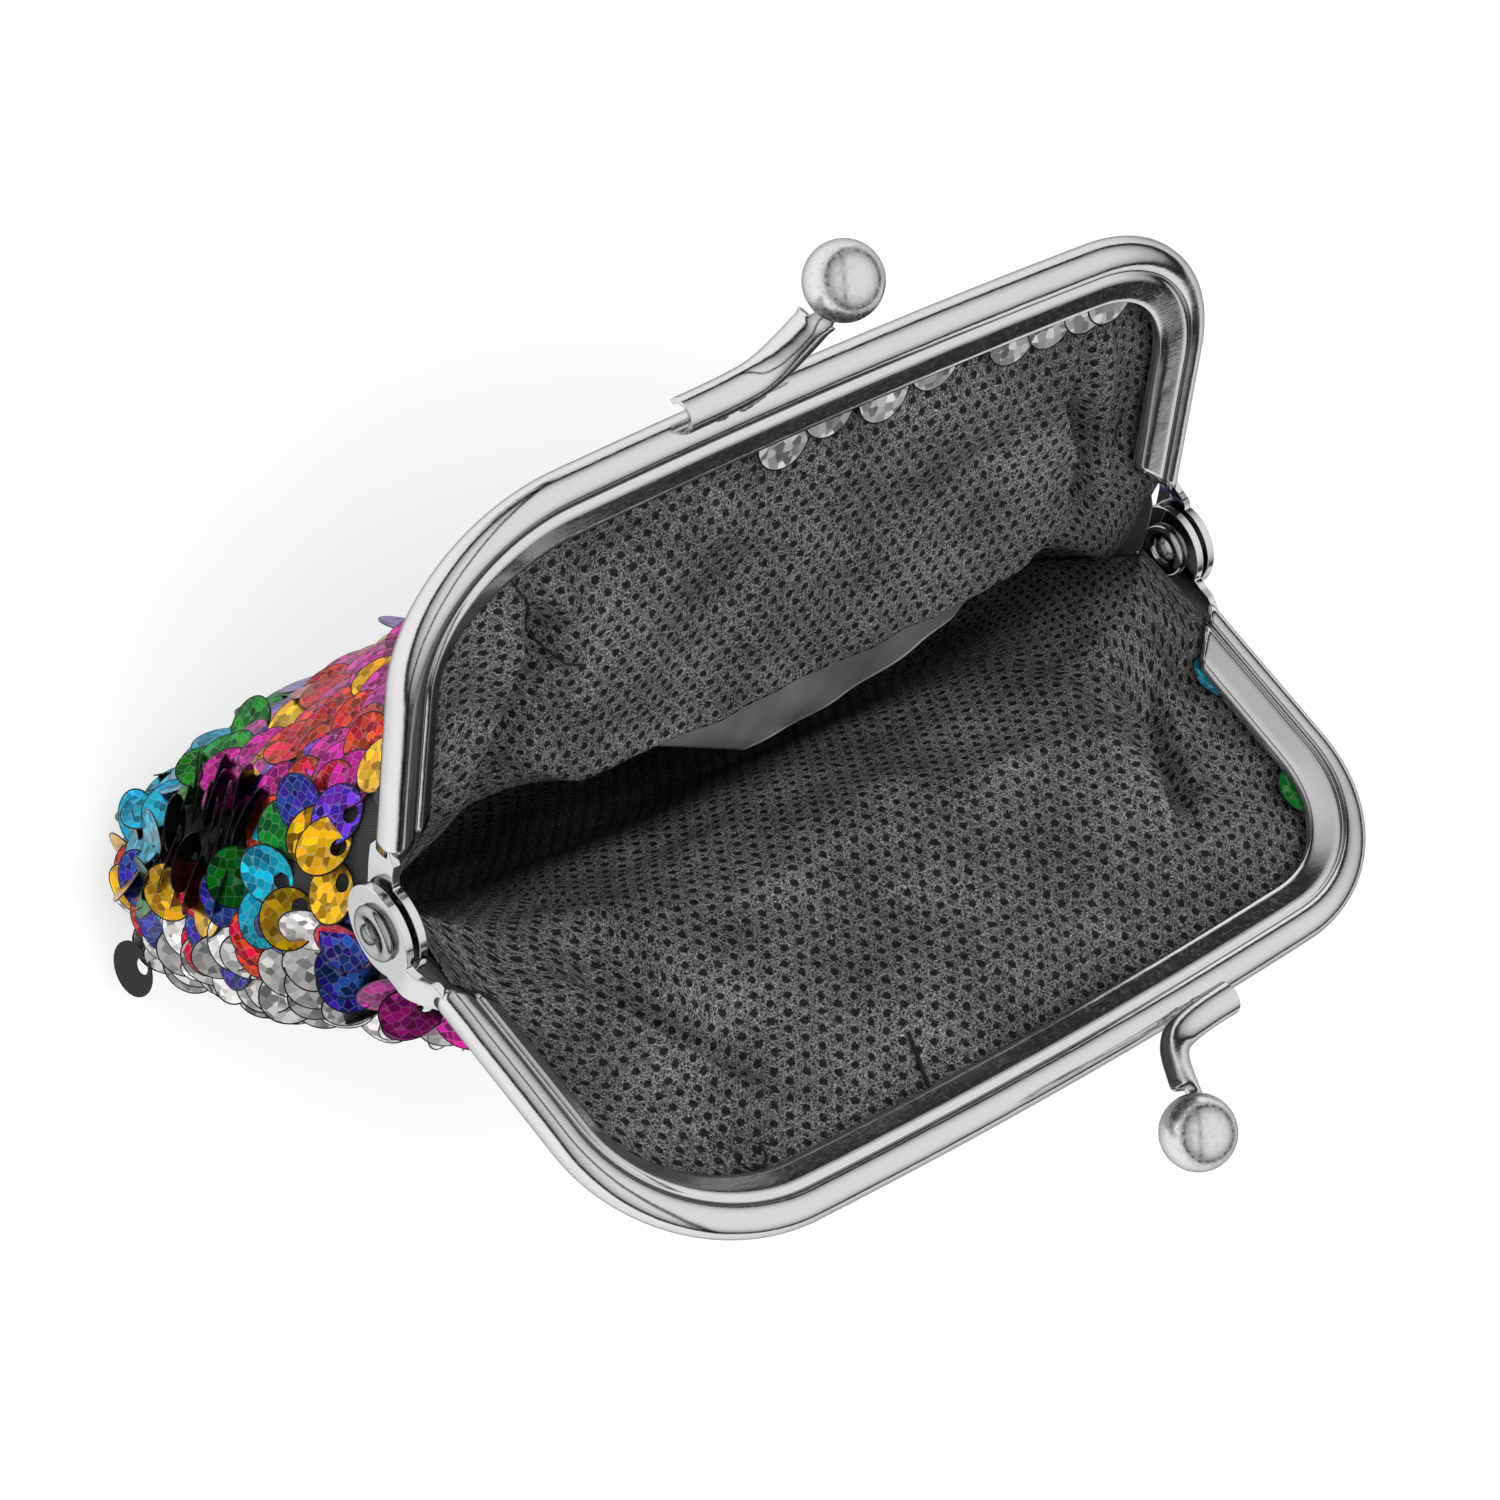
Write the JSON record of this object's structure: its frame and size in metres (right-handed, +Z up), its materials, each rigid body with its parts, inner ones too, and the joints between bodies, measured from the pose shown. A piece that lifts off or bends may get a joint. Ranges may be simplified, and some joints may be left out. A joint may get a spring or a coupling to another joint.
{
  "type": "kiss-lock coin purse",
  "caption": "Small kiss-lock coin purse: hinged chromed frame halves with ball clasps over a lined pouch covered in flip sequins, shown standing open.",
  "frame": {"origin": "on the ground under the middle of the hinge axis, the centre of the box's bottom", "axes": "+X along the hinge axis, +Y from the front half to the back half, +Z up out of the mouth"},
  "size_m": [0.0882, 0.0792, 0.0934],
  "materials": {
    "frame_chrome": "mirror",
    "ball_chrome": "mirror",
    "rivet_steel": "satin",
    "lining_cloth": "matt non-woven",
    "base_cloth": "matt knit",
    "label_film": "smooth",
    "paper_string": "matt",
    "thread": "matt",
    "sequin_foil": "holographic silver",
    "sequin_magenta": "holographic",
    "sequin_violet": "holographic",
    "sequin_blue": "holographic",
    "sequin_cyan": "holographic",
    "sequin_green": "holographic",
    "sequin_gold": "holographic",
    "sequin_red": "holographic",
    "sequin_back": "black underside"
  },
  "bodies": {
    "pouch": {"outer_shell": "base_cloth", "lining": "lining_cloth", "inner_label": "label_film", "left_rivet": "rivet_steel", "right_rivet": "rivet_steel"},
    "front_half": {"front_frame": "frame_chrome", "front_clasp_arm": "frame_chrome", "front_clasp_ball": "ball_chrome", "front_paper_cord": "paper_string", "front_outer_panel": "base_cloth", "front_lining_panel": "lining_cloth", "front_hem_sequins": "sequin_foil"},
    "back_half": {"back_frame": "frame_chrome", "back_clasp_arm": "frame_chrome", "back_clasp_ball": "ball_chrome", "back_paper_cord": "paper_string", "back_outer_panel": "base_cloth", "back_lining_panel": "lining_cloth", "back_hem_sequins": "sequin_foil"}
  },
  "joints": [
    {"name": "front_hinge", "type": "hinge", "parent": "pouch", "child": "front_half", "pos_m": [0, 0, 0.06], "axis": [-1, 0, 0], "range_deg": [-8.5, 51.5]},
    {"name": "back_hinge", "type": "hinge", "parent": "pouch", "child": "back_half", "pos_m": [0, 0, 0.06], "axis": [1, 0, 0], "range_deg": [-8.5, 51.5]}
  ]
}
